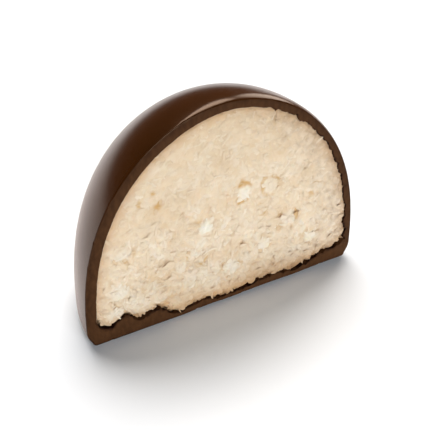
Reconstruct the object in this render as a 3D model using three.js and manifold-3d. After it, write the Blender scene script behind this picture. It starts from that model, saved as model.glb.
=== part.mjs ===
// A coconut ball, halved: a domed chocolate sweet on a flat base, sliced upright through the middle.
// Two pieces show at the cut: a thin chocolate shell, closed underneath, and the coconut that fills it.
// Units are millimetres and +Z is up. The dome's axis is upright, and the cut face looks along -Y.
import * as THREE from "three";
import { mergeVertices } from "three/addons/utils/BufferGeometryUtils.js";
import Module from "manifold-3d";

// The dome
const WIDTH = 32; // across the widest ring
const HEIGHT = 25.2;
const WIDEST_AT = 2.1; // height of the widest ring above the base
const BASE_TUCK = 0.95; // how far the side draws in from the widest ring down to the base
const BASE_EDGE = 0.5; // radius of the edge between the side and the base
const CROWN_ACROSS = 1.85; // the crown's curve is across^CROWN_ACROSS + up^CROWN_UP = 1
const CROWN_UP = 2.45;

// The chocolate
const WALL = 1.1; // on the dome
const WALL_LEAN = 0.08; // how much thinner it is on the right, and thicker on the left
const WALL_SWELL = 0.12; // how far the inside of the wall wanders
const WALL_SWELL_LENGTH = 19; // from one swell to the next
const FLOOR = 0.85; // under the filling, before its unevenness
const FLOOR_THIN_AT = 1.5; // where it is thinnest, to the right of the middle
const FLOOR_CLIMB = 1.5; // how much thicker the floor is beside the wall
const FLOOR_CLIMB_FROM = 6; // how far from its thinnest place the floor begins to climb
const FLOOR_CLIMB_TO = 12.5; // and how far from it the climb ends
const FLOOR_BUMPS = 0.42; // height of the coconut's print in the floor
const FLOOR_BUMP_LENGTH = 4.4; // from one bump to the next
const FLOOR_BUMP_AT = -11.9; // where one of the bumps is
const FLOOR_BUMP_SLANT = 0.6; // how far the bumps run to the left for each millimetre back
const FLOOR_FADE = 5; // height above the floor at which its unevenness has died away
const FLOOR_CORNER = 1.1; // radius between the floor and the wall

// The filling
const GAP = 0.3; // between the filling and the chocolate
const CRUMBLE = 0.4; // deepest hollow in the cut coconut
const CRUMBLE_LENGTH = 3.1; // from one hollow to the next

// How finely the curves are divided
const TURN_STEPS = 72; // round the whole dome
const SIDE_STEPS = 18; // from the base edge to the top
const SIDE_EASE = 1.35; // over 1 draws the steps closer together near the base too
const EDGE_STEPS = 3;
const BASE_STEPS = 6; // from the axis to the base edge
const FLOOR_STEPS = 14; // from the axis to the corner under the filling
const FACE_STEP = 1.05; // of the crumbled cut face

const RADIUS = WIDTH / 2;
const SPARE = 2; // how far a cutting block reaches past the dome

// Half-width of the dome at a height, drawn in by an inset on the side and on top.
function radiusAt(z, inset) {
  if (z < WIDEST_AT) {
    return RADIUS - inset - BASE_TUCK * ((WIDEST_AT - z) / WIDEST_AT) ** 2;
  }
  const up = (z - WIDEST_AT) / (HEIGHT - inset - WIDEST_AT);
  return (RADIUS - inset) * Math.max(0, 1 - up ** CROWN_UP) ** (1 / CROWN_ACROSS);
}

// The dome's outline from the middle of its floor, out round the edge, and up the side to the top.
function outline(inset, floor, edge, floorSteps) {
  const points = [];
  const corner = floor + edge;
  const flat = radiusAt(corner, inset) - edge;
  for (let i = 0; i <= floorSteps; i++) {
    points.push(new THREE.Vector2((flat * i) / floorSteps, floor));
  }
  for (let i = 1; i <= EDGE_STEPS; i++) {
    const turn = ((Math.PI / 2) * i) / EDGE_STEPS;
    points.push(new THREE.Vector2(flat + edge * Math.sin(turn), corner - edge * Math.cos(turn)));
  }
  const rise = HEIGHT - inset - corner;
  for (let i = 1; i < SIDE_STEPS; i++) {
    const z = corner + rise * Math.sin(((Math.PI / 2) * i) / SIDE_STEPS) ** SIDE_EASE;
    points.push(new THREE.Vector2(radiusAt(z, inset), z));
  }
  points.push(new THREE.Vector2(0, HEIGHT - inset));
  return points;
}

// The whole dome as a closed surface, its axis along +Z.
function dome(points) {
  return new THREE.LatheGeometry(points, TURN_STEPS).rotateX(Math.PI / 2);
}

// A rolling value from -1 to 1: three waves that cross at different angles.
function rolling(u, v, length) {
  const k = (2 * Math.PI) / length;
  const along = Math.sin(k * (u + 0.31 * v) + 0.6);
  const across = Math.sin(k * (0.83 * v - 0.42 * u) + 2.4);
  const fine = Math.sin(k * (1.7 * u - 1.3 * v) + 4.1);
  return 0.5 * along + 0.3 * across + 0.2 * fine;
}

// Moves each vertex of a geometry by what change(x, y, z) returns.
function reshaped(geometry, change) {
  const place = geometry.getAttribute("position");
  const moved = new THREE.Vector3();
  for (let i = 0; i < place.count; i++) {
    moved.fromBufferAttribute(place, i);
    moved.add(change(moved.x, moved.y, moved.z));
    place.setXYZ(i, moved.x, moved.y, moved.z);
  }
  return geometry;
}

// What the uneven coconut does to the inside of the chocolate. The floor is bumpy and climbs towards
// the wall, which dies away further up. The wall wanders in and out, and all of it leans to the right.
function unevenInside(x, y, z) {
  const { smoothstep } = THREE.MathUtils;
  const nearFloor = 1 - smoothstep(z, FLOOR, FLOOR + FLOOR_FADE);
  const fromThin = Math.hypot(x - FLOOR_THIN_AT, y);
  const climb = FLOOR_CLIMB * smoothstep(fromThin, FLOOR_CLIMB_FROM, FLOOR_CLIMB_TO);
  const alongBumps = (x - FLOOR_BUMP_AT + FLOOR_BUMP_SLANT * y) / FLOOR_BUMP_LENGTH;
  const bumps = FLOOR_BUMPS * Math.cos(2 * Math.PI * alongBumps);
  const away = Math.hypot(x, y);
  const turn = (2 * Math.PI) / WALL_SWELL_LENGTH;
  const round = Math.atan2(y, x) * RADIUS;
  const swell = WALL_SWELL * Math.sin(turn * round) * Math.sin(turn * z) * (away / RADIUS);
  const outwards = away > 0 ? new THREE.Vector3(x, y, 0).setLength(swell) : new THREE.Vector3();
  return outwards.add(new THREE.Vector3(WALL_LEAN, 0, nearFloor * (climb + bumps)));
}

const wasm = await Module();
wasm.setup();

// A closed geometry as a solid that can be joined and cut.
function solid(geometry) {
  const bare = geometry.clone().deleteAttribute("normal").deleteAttribute("uv");
  const merged = mergeVertices(bare, 1e-3);
  const mesh = new wasm.Mesh({
    numProp: 3,
    vertProperties: merged.getAttribute("position").array,
    triVerts: new Uint32Array(merged.index.array),
  });
  return new wasm.Manifold(mesh);
}

// A solid as a geometry with one flat normal a face.
function geometryOf(made) {
  const { numProp, vertProperties, triVerts } = made.getMesh();
  const place = new Float32Array(triVerts.length * 3);
  triVerts.forEach((vertex, i) => {
    place.set(vertProperties.subarray(vertex * numProp, vertex * numProp + 3), i * 3);
  });
  const geometry = new THREE.BufferGeometry();
  geometry.setAttribute("position", new THREE.BufferAttribute(place, 3));
  geometry.computeVertexNormals();
  return geometry;
}

// The block that takes away the front half of the dome. Its back face is the cut: flat where depth is
// 0, and otherwise uneven, reaching up to depth behind the plane of the cut.
function frontHalf(depth) {
  const width = WIDTH + 2 * SPARE;
  const height = HEIGHT + 2 * SPARE;
  const thickness = RADIUS + SPARE;
  const across = depth > 0 ? Math.round(width / FACE_STEP) : 1;
  const up = depth > 0 ? Math.round(height / FACE_STEP) : 1;
  const block = new THREE.BoxGeometry(width, thickness, height, across, 1, up);
  block.translate(0, -thickness / 2, HEIGHT / 2);
  const hollow = (x, z) => (depth * (1 + rolling(x, z, CRUMBLE_LENGTH))) / 2;
  return solid(reshaped(block, (x, y, z) => new THREE.Vector3(0, y > -SPARE / 2 ? hollow(x, z) : 0, 0)));
}

function shell() {
  const outside = solid(dome(outline(0, 0, BASE_EDGE, BASE_STEPS)));
  const room = dome(outline(WALL, FLOOR, FLOOR_CORNER, FLOOR_STEPS));
  const inside = solid(reshaped(room, unevenInside));
  return outside.subtract(inside).subtract(frontHalf(0));
}

function filling() {
  const whole = dome(outline(WALL + GAP, FLOOR + GAP, FLOOR_CORNER, FLOOR_STEPS));
  return solid(reshaped(whole, unevenInside)).subtract(frontHalf(CRUMBLE));
}

const chocolate = new THREE.MeshStandardMaterial({ color: 0x4a2a19, roughness: 0.35, metalness: 0 });
const coconut = new THREE.MeshStandardMaterial({ color: 0xe8d8bd, roughness: 0.75, metalness: 0 });

// The half dome is modelled with its axis in the cut plane, then moved so that the middle of its
// bounding box is over the origin.
const sweet = new THREE.Group();
sweet.position.y = -RADIUS / 2;
for (const [name, made, material] of [
  ["chocolate_shell", shell(), chocolate],
  ["coconut_filling", filling(), coconut],
]) {
  const mesh = new THREE.Mesh(geometryOf(made), material);
  mesh.name = name;
  sweet.add(mesh);
}

export default sweet;
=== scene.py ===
# %% [markdown]
# # Half a coconut ball
#
# The sweet is a moulded dome of chocolate on a flat base, packed with moist grated coconut and sliced
# upright through its middle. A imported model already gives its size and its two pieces. This lesson
# gives each piece its fine surface: chocolate that took its gloss from a mould, chocolate that a knife
# went through, and coconut that crumbles into flakes at the cut. The cut looks along -Y, and Z is up.

import math

import bmesh
import bpy
import numpy as np
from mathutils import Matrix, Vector


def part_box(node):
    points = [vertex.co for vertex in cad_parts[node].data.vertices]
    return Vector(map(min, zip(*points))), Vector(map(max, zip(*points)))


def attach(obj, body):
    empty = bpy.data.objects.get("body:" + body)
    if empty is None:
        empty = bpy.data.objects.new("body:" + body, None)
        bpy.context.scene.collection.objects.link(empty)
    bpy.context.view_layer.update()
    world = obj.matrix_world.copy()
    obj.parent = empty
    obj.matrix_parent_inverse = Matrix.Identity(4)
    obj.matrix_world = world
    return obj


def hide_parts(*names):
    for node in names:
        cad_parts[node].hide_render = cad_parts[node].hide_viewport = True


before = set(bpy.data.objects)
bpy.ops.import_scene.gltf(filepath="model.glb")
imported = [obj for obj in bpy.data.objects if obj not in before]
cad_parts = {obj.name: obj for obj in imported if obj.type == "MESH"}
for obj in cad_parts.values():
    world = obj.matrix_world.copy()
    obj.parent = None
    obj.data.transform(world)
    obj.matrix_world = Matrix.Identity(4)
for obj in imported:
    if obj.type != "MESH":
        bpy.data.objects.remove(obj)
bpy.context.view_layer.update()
print("solids:", sorted(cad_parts))

# %% [markdown]
# ## Sizes
#
# On the real sweet the mould sets every size outside, and the amount of chocolate sets the wall. Sizes
# could be typed in again here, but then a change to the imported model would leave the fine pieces
# behind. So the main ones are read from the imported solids, and only what a box can't tell is typed in.

# %% Sizes of the sweet
MM = 0.001
shell_low, shell_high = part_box("chocolate_shell")
core_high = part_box("coconut_filling")[1]
RADIUS = (shell_high.x - shell_low.x) / 2
HEIGHT = shell_high.z
CUT_Y = shell_low.y  # the plane of the cut, with the sweet behind it towards +Y
SOLIDS_GAP = 0.3 * MM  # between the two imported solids
WALL = HEIGHT - core_high.z - SOLIDS_GAP
WALL_LEAN = 0.08 * MM  # how much thinner the wall is on the right, and thicker on the left
FLOOR = 0.85 * MM  # the chocolate under the coconut, before its unevenness
print(f"radius {RADIUS / MM:.2f} mm, height {HEIGHT / MM:.2f} mm, wall {WALL / MM:.2f} mm")

# %% [markdown]
# ## The dome's outline
#
# Seen from the side the mould is fuller than a ball. A curve drawn by hand could follow it, but a rule
# with two powers needs only two numbers: a circle would have 2 and 2. Below its widest ring the side
# draws in a little to the base, and a small round joins the two. The inside of the wall follows the
# same rule, drawn in by the wall.

# %% The dome's outline
WIDEST_AT = 2.1 * MM  # height of the widest ring
BASE_TUCK = 0.95 * MM  # how far the side draws in below it
BASE_EDGE = 0.5 * MM  # radius between the side and the base
FLOOR_CORNER = 1.1 * MM  # radius between the wall and the floor inside
CROWN_ACROSS = 1.85
CROWN_UP = 2.45
SIDE_EASE = 1.35  # over 1 draws the points closer together near the base


def half_width(up, inset):
    """Half the dome's width at a height, drawn in by an inset."""
    if up < WIDEST_AT:
        return RADIUS - inset - BASE_TUCK * ((WIDEST_AT - up) / WIDEST_AT) ** 2
    rise = (up - WIDEST_AT) / (HEIGHT - inset - WIDEST_AT)
    return (RADIUS - inset) * max(0.0, 1 - rise**CROWN_UP) ** (1 / CROWN_ACROSS)


def outline(inset, floor, corner, steps):
    """Points from the middle of the base out to its corner and up the side: (across, 0, up)."""
    floor_steps, corner_steps, side_steps = steps
    start = floor + corner
    flat = half_width(start, inset) - corner
    points = [(flat * i / floor_steps, 0, floor) for i in range(floor_steps)]
    for i in range(corner_steps):
        turn = math.pi / 2 * i / corner_steps
        points.append((flat + corner * math.sin(turn), 0, start - corner * math.cos(turn)))
    for i in range(side_steps):
        rise = math.sin(math.pi / 2 * i / side_steps) ** SIDE_EASE
        up = start + (HEIGHT - inset - start) * rise
        points.append((half_width(up, inset), 0, up))
    points.append((0, 0, HEIGHT - inset))
    return points


print(f"the base is {2 * half_width(0, 0) / MM:.2f} mm across")

# %% [markdown]
# ## Helpers for node trees
#
# Everything on this sweet follows a rule: turned skins, a torn edge, crumbs and flakes. Such rules can
# be written as loops over points, or as a tree of nodes that Blender works out for a whole mesh at
# once. Trees are used here, each with named inputs for its sizes. The modifier is only a tool: its
# result is copied into a plain mesh, and the modifier goes with the object that carried it.

# %% A helper that adds a node
MATH = "ShaderNodeMath"
VECTOR_MATH = "ShaderNodeVectorMath"


def add(tree, kind, inputs=None, **settings):
    """Adds a node with its settings, and fills its inputs with values, nodes or other sockets. An input
    is called by its place, or by its name among those that the node's settings leave in use."""
    node = tree.nodes.new(kind)
    for name, value in settings.items():
        setattr(node, name, value)
    for key, source in (inputs or {}).items():
        named = [socket for socket in node.inputs if socket.name == key and socket.enabled]
        target = named[0] if named else node.inputs[key]
        if isinstance(source, bpy.types.Node):
            source = next(socket for socket in source.outputs if socket.enabled)
        if isinstance(source, bpy.types.NodeSocket):
            tree.links.new(source, target)
        else:
            target.default_value = source
    return node


print("short names for two kinds of node:", MATH, "and", VECTOR_MATH)

# %% Helpers for geometry node trees
SOCKETS = {
    float: "NodeSocketFloat",
    int: "NodeSocketInt",
    str: "NodeSocketString",
    bpy.types.Object: "NodeSocketObject",
    bpy.types.Collection: "NodeSocketCollection",
    bpy.types.Material: "NodeSocketMaterial",
}


def geometry_tree(name, values):
    """A geometry node tree with a named input for each value, and its input and output nodes."""
    tree = bpy.data.node_groups.new(name, "GeometryNodeTree")
    tree.interface.new_socket("Geometry", in_out="INPUT", socket_type="NodeSocketGeometry")
    for label, value in values.items():
        kind = value if isinstance(value, type) else type(value)
        tree.interface.new_socket(label, in_out="INPUT", socket_type=SOCKETS[kind])
    tree.interface.new_socket("Geometry", in_out="OUTPUT", socket_type="NodeSocketGeometry")
    given = tree.nodes.new("NodeGroupInput")
    result = tree.nodes.new("NodeGroupOutput")
    return tree, given.outputs, result.inputs


def made_by(tree, values, start=None):
    """The plain mesh that a tree makes with its named inputs set, from a mesh or from nothing."""
    worker = bpy.data.objects.new("worker", start or bpy.data.meshes.new("nothing"))
    modifier = worker.modifiers.new(tree.name, "NODES")
    modifier.node_group = tree
    for item in tree.interface.items_tree:
        if item.in_out == "INPUT" and item.name in values:
            modifier[item.identifier] = values[item.name]
    bpy.context.scene.collection.objects.link(worker)
    now = bpy.context.evaluated_depsgraph_get()
    mesh = bpy.data.meshes.new_from_object(
        worker.evaluated_get(now), preserve_all_data_layers=True, depsgraph=now
    )
    bpy.data.objects.remove(worker)
    print(f"{tree.name}: {len(tree.nodes)} nodes made {len(mesh.polygons)} faces")
    return mesh


print("a tree can take", len(SOCKETS), "kinds of input")

# %% [markdown]
# ## A lathe made of nodes
#
# A turned shape is one outline carried along one path. Blender has a Spin tool and a Screw modifier,
# but they turn only in a circle, and the coconut's path is a D: round the back, then straight across
# the cut. So a small tree does it. It takes a grid, and puts the point of row r and column c where
# outline point r has been carried to path point c. The same tree turns all the main skins. Its grid is
# read back as numbers and shaped further, so it carries no finish yet.

# %% The lathe tree
LATHE = {"Outline": bpy.types.Object, "Path": bpy.types.Object, "Rows": int, "Columns": int}
lathe, given, result = geometry_tree("lathe", LATHE)
grid = add(
    lathe, "GeometryNodeMeshGrid", {"Vertices X": given["Rows"], "Vertices Y": given["Columns"]}
)
index = add(lathe, "GeometryNodeInputIndex")
divided = add(lathe, MATH, {0: index, 1: given["Columns"]}, operation="DIVIDE")
row = add(lathe, MATH, {0: divided}, operation="FLOOR")
column = add(lathe, MATH, {0: index, 1: given["Columns"]}, operation="MODULO")
place = add(lathe, "GeometryNodeInputPosition")
carried = {}
for label, number in {"Outline": row, "Path": column}.items():
    shape = add(lathe, "GeometryNodeObjectInfo", {"Object": given[label]})
    carried[label] = add(
        lathe,
        "GeometryNodeSampleIndex",
        {"Geometry": shape.outputs["Geometry"], "Value": place, "Index": number},
        data_type="FLOAT_VECTOR",
    )
across = add(lathe, "ShaderNodeSeparateXYZ", {"Vector": carried["Outline"]}).outputs
spread = add(lathe, VECTOR_MATH, {0: carried["Path"], "Scale": across["X"]}, operation="SCALE")
lifted = add(lathe, "ShaderNodeCombineXYZ", {"Z": across["Z"]})
where = add(lathe, VECTOR_MATH, {0: spread, 1: lifted}, operation="ADD")
turned = add(lathe, "GeometryNodeSetPosition", {"Geometry": grid.outputs["Mesh"], "Position": where})
real = add(lathe, "GeometryNodeRealizeInstances", {"Geometry": turned})
lathe.links.new(real.outputs["Geometry"], result["Geometry"])
print("lathe tree:", len(lathe.nodes), "nodes")


# %% Lines to carry and to follow
def line_object(name, points):
    """A row of points as an object that a node tree can read. It isn't part of the sweet."""
    mesh = bpy.data.meshes.new(name)
    mesh.from_pydata([tuple(p) for p in points], [(i, i + 1) for i in range(len(points) - 1)], [])
    return bpy.data.objects.new(name, mesh)


def places_of(mesh):
    """The places of a mesh's points as an array."""
    places = np.empty(len(mesh.vertices) * 3, np.float32)
    mesh.vertices.foreach_get("co", places)
    return places.reshape(-1, 3).astype(float)


def turned_grid(name, outline_points, path_points):
    """The points that the lathe makes from an outline and a path: rows by columns by three."""
    rows, columns = len(outline_points), len(path_points)
    lines = {
        "Outline": line_object(name + "_outline", outline_points),
        "Path": line_object(name + "_path", path_points),
    }
    mesh = made_by(lathe, {"Rows": rows, "Columns": columns, **lines})
    return places_of(mesh).reshape(rows, columns, 3)


def half_turn(steps, ease):
    """Points on a half circle of radius 1 from the right to the left. Ease 0 spaces them evenly, and
    ease 1 draws them together at both ends."""
    points = []
    for i in range(steps + 1):
        share = i / steps - ease * math.sin(2 * math.pi * i / steps) / (2 * math.pi)
        points.append((math.cos(math.pi * share), math.sin(math.pi * share), 0))
    return points


print("half a turn in four steps goes across to", [round(place[0], 2) for place in half_turn(4, 0)])

# %% [markdown]
# ## The chocolate shell
#
# On the real sweet the shell is poured into a mould, so its outside is smooth, and its inside takes
# the print of the coconut. A half dome with a Solidify modifier would give a wall, but an even one. So
# the lathe turns the outside and the inside apart, from two outlines with the same number of points.
# The rows lie close together, because the torn edge needs them, and so do the columns near the cut.

# %% The shell's two skins
SHELL_STEPS = (110, 14, 240)  # along the floor, round its corner, and up the side
SHELL_TURNS = 64
SHELL_EASE = 0.98
outer_line = np.array(outline(0, 0, BASE_EDGE, SHELL_STEPS))
inner_line = np.array(outline(WALL, FLOOR, FLOOR_CORNER, SHELL_STEPS))
back_path = np.array(half_turn(SHELL_TURNS, SHELL_EASE))
outside = turned_grid("outer_skin", outer_line, back_path)
inside = turned_grid("inner_skin", inner_line, back_path)
print("skins:", outside.shape[0], "rows of", outside.shape[1], "points")

# %% [markdown]
# ## The edge that the knife left
#
# A knife never leaves a quite sharp edge on chocolate. Over the top and on the right it pressed the
# edge down to a broad, low round, and that round is what catches the light as a pale line. A Bevel
# modifier has one width all along, so the points near the edge are moved instead: each goes onto a
# quarter of an ellipse whose two radii change along the edge.

# %% How the edge is rounded
SHARP_EDGE = (0.12 * MM, 0.12 * MM)  # back along the outside, and in across the cut
BLUNT_EDGE = (1.3 * MM, 0.3 * MM)
BLUNT_FROM = -5.8 * MM  # across from the middle: the edge is sharp to the left of this
BLUNT_TO = 0


def smooth(value, low, high):
    """0 below low, 1 above high, and a soft slope between them."""
    t = np.clip((value - low) / (high - low), 0, 1)
    return t * t * (3 - 2 * t)


def edge_round(across):
    """How far back and how far in the edge is rounded, at a distance across from the middle."""
    blunt = smooth(across, BLUNT_FROM, BLUNT_TO)
    return [sharp + (full - sharp) * blunt for sharp, full in zip(SHARP_EDGE, BLUNT_EDGE)]


def rounded(reach, own, other):
    """Where a point ends up that was reach along a face from a sharp edge: (along, drawn in). The
    edge becomes a quarter of an ellipse: own is its radius along this face, other along the next."""
    start = own * (1 - math.sqrt(0.5))
    along = np.where(reach < own, start + reach * (own - start) / own, reach)
    inward = other * (1 - np.sqrt(1 - np.clip(1 - along / own, 0, 1) ** 2))
    return along, inward


print("radii of the edge at the right in mm:", [round(float(r) / MM, 2) for r in edge_round(RADIUS)])


# %% Round the outer skin's edge
def line_normals(line):
    """The outward direction at each point of an outline, in its own plane."""
    along = np.gradient(line, axis=0)
    out = np.stack([along[:, 2], 0 * along[:, 1], -along[:, 0]], axis=1)
    out[0] = (0, 0, -1)
    out[-1] = (0, 0, 1)
    return out / np.linalg.norm(out, axis=1, keepdims=True)


UP = np.array([0, 0, 1])
out_of_line = line_normals(outer_line)
out_of_skin = out_of_line[:, None, :1] * back_path[None] + out_of_line[:, None, 2:] * UP
behind, drawn_in = rounded(outside[:, :, 1], *edge_round(outside[:, :, 0]))
outside -= out_of_skin * drawn_in[:, :, None]
outside[:, :, 1] = np.where(drawn_in > 0, behind, outside[:, :, 1])
print("the round moves the edge by up to", round(drawn_in.max() / MM, 2), "mm")

# %% [markdown]
# ## The cut face of the wall
#
# Between the two skins the knife left a flat band of bare chocolate. It could be filled by one face,
# but it has to tear later, so it gets many rows. Two strips make it, one each side of the axis. They
# carry on the round of the edge, where the blade smeared the chocolate as smooth as the mould did.

# %% The strips across the cut
SEAM = 0.00005 * MM  # points closer than this are one point
STRIP_STEPS = 18
STRIP_EASE = 1.25  # over 1 draws the points closer together at the outer edge
SMEARED = 0.9  # how much of the rounded edge is smeared smooth
MOULDED, CUT = 0, 1
strip_share = (np.linspace(0, 1, STRIP_STEPS + 1) ** STRIP_EASE)[None, :, None]


def strip(side):
    """The cut face of the wall, from its outer edge to its inner one, and whether each of its faces
    is moulded or cut. Side 1 is right, and -1 is left."""
    back, radius = [size[:, None, None] for size in edge_round(side * outer_line[:, 0])]
    across = (inner_line - outer_line)[:, None, :] * strip_share
    reach = np.linalg.norm(across, axis=2, keepdims=True)
    along, pushed_back = rounded(reach, radius, back)
    straight = across * along / np.maximum(reach, SEAM)
    square = -out_of_line[:, None, :] * along
    turn_off = np.clip((reach - radius) / radius, 0, 1)
    places = outer_line[:, None, :] + square * (1 - turn_off) + straight * turn_off
    places[:, :, 1] = pushed_back[:, :, 0]
    smeared_and_top_shade = reach[:-1, 1:, 0] < radius[:-1, :, 0] * SMEARED
    return places * np.array([side, 1, 1]), np.where(smeared_and_top_shade, MOULDED, CUT)


right_strip, right_finish = strip(1)
left_strip, left_finish = strip(-1)
print("the knife left", int(right_finish.sum() + left_finish.sum()), "faces bare")

# %% [markdown]
# ## One closed mesh
#
# A real shell is one solid body. The grids could stay four objects, but then light would leak through
# their seams. So they are joined and their doubled points merged, and a count of open edges shows that
# the body is closed. Two marks stay on it for the steps to come: how deep in the wall a point lies,
# and which faces the knife cut.

# %% Join the grids into one closed mesh
def marked(mesh, name, values, domain="POINT"):
    """Keeps one number for each point or face of a mesh under a name."""
    mesh.attributes.new(name, "FLOAT", domain).data.foreach_set("value", np.array(values, np.float32))


def joined_mesh(name, grids):
    """A closed mesh from grids of points. Each grid has a flip, a mark for its faces, which is moulded
    or cut, and a depth: 0 on the outside of the wall and 1 on its inside."""
    points, faces, cut, depths = [], [], [], []
    for places, flip, mark, depth in grids:
        rows, columns = places.shape[:2]
        for r in range(rows - 1):
            for c in range(columns - 1):
                corner = len(points) + r * columns + c
                face = (corner, corner + 1, corner + columns + 1, corner + columns)
                faces.append(face[::-1] if flip else face)
        cut.extend(np.broadcast_to(mark, (rows - 1, columns - 1)).ravel())
        depths.extend(np.broadcast_to(depth, (rows, columns)).ravel())
        points.extend(map(tuple, places.reshape(-1, 3)))
    mesh = bpy.data.meshes.new(name)
    mesh.from_pydata(points, [], faces)
    mesh.polygons.foreach_set("use_smooth", [True] * len(faces))
    marked(mesh, "knife_cut", cut, "FACE")
    marked(mesh, "depth", depths)
    work = bmesh.new()
    work.from_mesh(mesh)
    bmesh.ops.remove_doubles(work, verts=work.verts, dist=SEAM)
    open_edges = sum(1 for edge in work.edges if len(edge.link_faces) != 2)
    print(f"{name}: {len(work.faces)} faces, {open_edges} open edges, {work.calc_volume() / MM**3:.0f} mm3")
    work.to_mesh(mesh)
    work.free()
    return mesh


shell_mesh = joined_mesh(
    "chocolate",
    [
        (outside, False, MOULDED, 0),
        (inside, True, CUT, 1),
        (right_strip, True, right_finish, strip_share[:, :, 0]),
        (left_strip, False, left_finish, strip_share[:, :, 0]),
    ],
)

# %% [markdown]
# ## The coconut's print
#
# The coconut was pressed into the shell before its base was closed, so the chocolate floor took the
# coconut's lumps as a print: it is thick beside the wall, thin near the middle, and wavy. It could be
# sculpted, but then the coconut would need the same strokes again. A rule can be used twice: it moves
# the inside of the shell here and the coconut later, so that they still fit each other.

# %% Shape the inside of the chocolate
FLOOR_FADE = 5 * MM  # height above the floor at which the print has died away
FLOOR_THIN_AT = 1.5 * MM
FLOOR_CLIMB = 1.4 * MM
FLOOR_CLIMB_FROM = 6 * MM
FLOOR_CLIMB_TO = 12.5 * MM
FLOOR_BUMPS = 0.52 * MM
FLOOR_BUMP_LENGTH = 3.7 * MM  # at the left end of the cut
FLOOR_BUMP_GROWTH = 0.0055 / MM  # the bumps get longer to the right
FLOOR_BUMP_AT = -11.9 * MM
FLOOR_BUMP_SLANT = 0.6
FLATTER_FROM = -7 * MM  # the bumps are lower where the floor is thin
FLATTER_TO = -2 * MM
FLATTER_BY = 0.5


def printed(places, depth):
    """Places with the coconut's print in them, as far as each one's depth in the wall says."""
    x, y, z = places.T
    near_floor = 1 - smooth(z, FLOOR, FLOOR + FLOOR_FADE)
    climb = FLOOR_CLIMB * smooth(np.hypot(x - FLOOR_THIN_AT, y), FLOOR_CLIMB_FROM, FLOOR_CLIMB_TO)
    along = x - FLOOR_BUMP_AT + FLOOR_BUMP_SLANT * y
    wave = np.cos(2 * math.pi * along * (1 / FLOOR_BUMP_LENGTH - FLOOR_BUMP_GROWTH * along / MM))
    bumps = FLOOR_BUMPS * (1 - FLATTER_BY * smooth(x, FLATTER_FROM, FLATTER_TO))
    lift = near_floor * (climb + bumps * wave) * depth
    return np.stack([x + WALL_LEAN * depth, y, z + lift], axis=1)


floor_ends = printed(np.array([[-RADIUS, 0, FLOOR], [FLOOR_THIN_AT, 0, FLOOR]]), 1)
print("floor at the wall and at its thinnest in mm:", [round(end / MM, 2) for end in floor_ends[:, 2]])


# %% Put the print into the chocolate
def read(mesh, name):
    """A mesh's kept numbers as an array."""
    values = np.empty(len(mesh.vertices), np.float32)
    mesh.attributes[name].data.foreach_get("value", values)
    return values.astype(float)


def place_at(mesh, places):
    """Puts a mesh's points at places, behind the plane of the cut."""
    there = places + np.array([0, CUT_Y, 0])
    mesh.vertices.foreach_set("co", there.astype(np.float32).ravel())
    mesh.update()


shell_places = printed(places_of(shell_mesh), read(shell_mesh, "depth"))
place_at(shell_mesh, shell_places)
print("the chocolate is", round(shell_places[:, 2].max() / MM, 2), "mm high")

# %% [markdown]
# ## Colours and materials
#
# A food colour is easiest to judge as the hex value that a screen shows, but Blender mixes light in
# linear values. One function turns one into the other. A material could keep the nodes that Blender
# gives it, but each one here starts empty, so that its tree says all that there is to it. Patterns
# read Object coordinates, so they run through the piece in true millimetres, with no stretch or seam.

# %% Colours and a new material
COLOUR_MIX = {"data_type": "RGBA"}


def linear(colour):
    """An sRGB hex colour as linear red, green, blue and alpha."""
    parts = [int(colour[i : i + 2], 16) / 255 for i in (1, 3, 5)]
    return [p / 12.92 if p <= 0.04045 else ((p + 0.055) / 1.055) ** 2.4 for p in parts] + [1.0]


def new_material(name):
    """An empty node material, its tree and its Object coordinates."""
    material = bpy.data.materials.new(name)
    material.use_nodes = True
    tree = material.node_tree
    tree.nodes.clear()
    return material, tree, add(tree, "ShaderNodeTexCoord").outputs["Object"]


print("a middle grey in linear values:", [round(part, 3) for part in linear("#808080")])

# %% [markdown]
# ## Moulded chocolate
#
# The outside is dark chocolate that was tempered and set against a polished mould. Its fat crystals
# are fine and even, which gives the eye a satin shine: clear lights with soft borders, and a warm tone
# in them. A clear coat would look like lacquer, so the shine is the plain surface's own, a little
# rougher in some places than in others. The crystals also scatter light that grazes them, which a faint
# warm sheen gives. A slow change of tone keeps the brown from looking painted.

# %% Moulded chocolate
TONE_LENGTH = 7 * MM  # the cocoa settles in slow swirls of this size
CRYSTAL_LENGTH = 0.9 * MM  # the real bloom of fat is ten times finer, and wouldn't show
CRYSTAL_HEIGHT = 0.05 * MM
SATIN = {"To Min": 0.19, "To Max": 0.27}  # roughness between fine crystals and coarse ones
moulded_chocolate, tree, spot = new_material("moulded_chocolate")
swirl = add(tree, "ShaderNodeTexNoise", {"Vector": spot, "Scale": 1 / TONE_LENGTH, "Detail": 3.0})
brown = add(
    tree, "ShaderNodeMix", {"Factor": swirl, "A": linear("#1f0c00"), "B": linear("#3a1b01")}, **COLOUR_MIX
)
crystals = add(tree, "ShaderNodeTexNoise", {"Vector": spot, "Scale": 1 / CRYSTAL_LENGTH, "Detail": 4.0})
satin = add(tree, "ShaderNodeMapRange", {"Value": crystals, **SATIN})
skin = add(tree, "ShaderNodeBump", {"Height": crystals, "Strength": 0.05, "Distance": CRYSTAL_HEIGHT})
shader = add(
    tree,
    "ShaderNodeBsdfPrincipled",
    {
        "Base Color": brown,
        "Roughness": satin,
        "IOR": 1.4,  # cocoa butter has 1.45, but then the far edges look grey
        "Specular Tint": linear("#ffd9b8"),  # its gloss is warm
        "Sheen Weight": 0.3,
        "Sheen Roughness": 0.4,
        "Sheen Tint": linear("#a5622c"),
        "Normal": skin,
    },
)
add(tree, "ShaderNodeOutputMaterial", {"Surface": shader})
print(moulded_chocolate.name, len(tree.nodes), "nodes")
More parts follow.
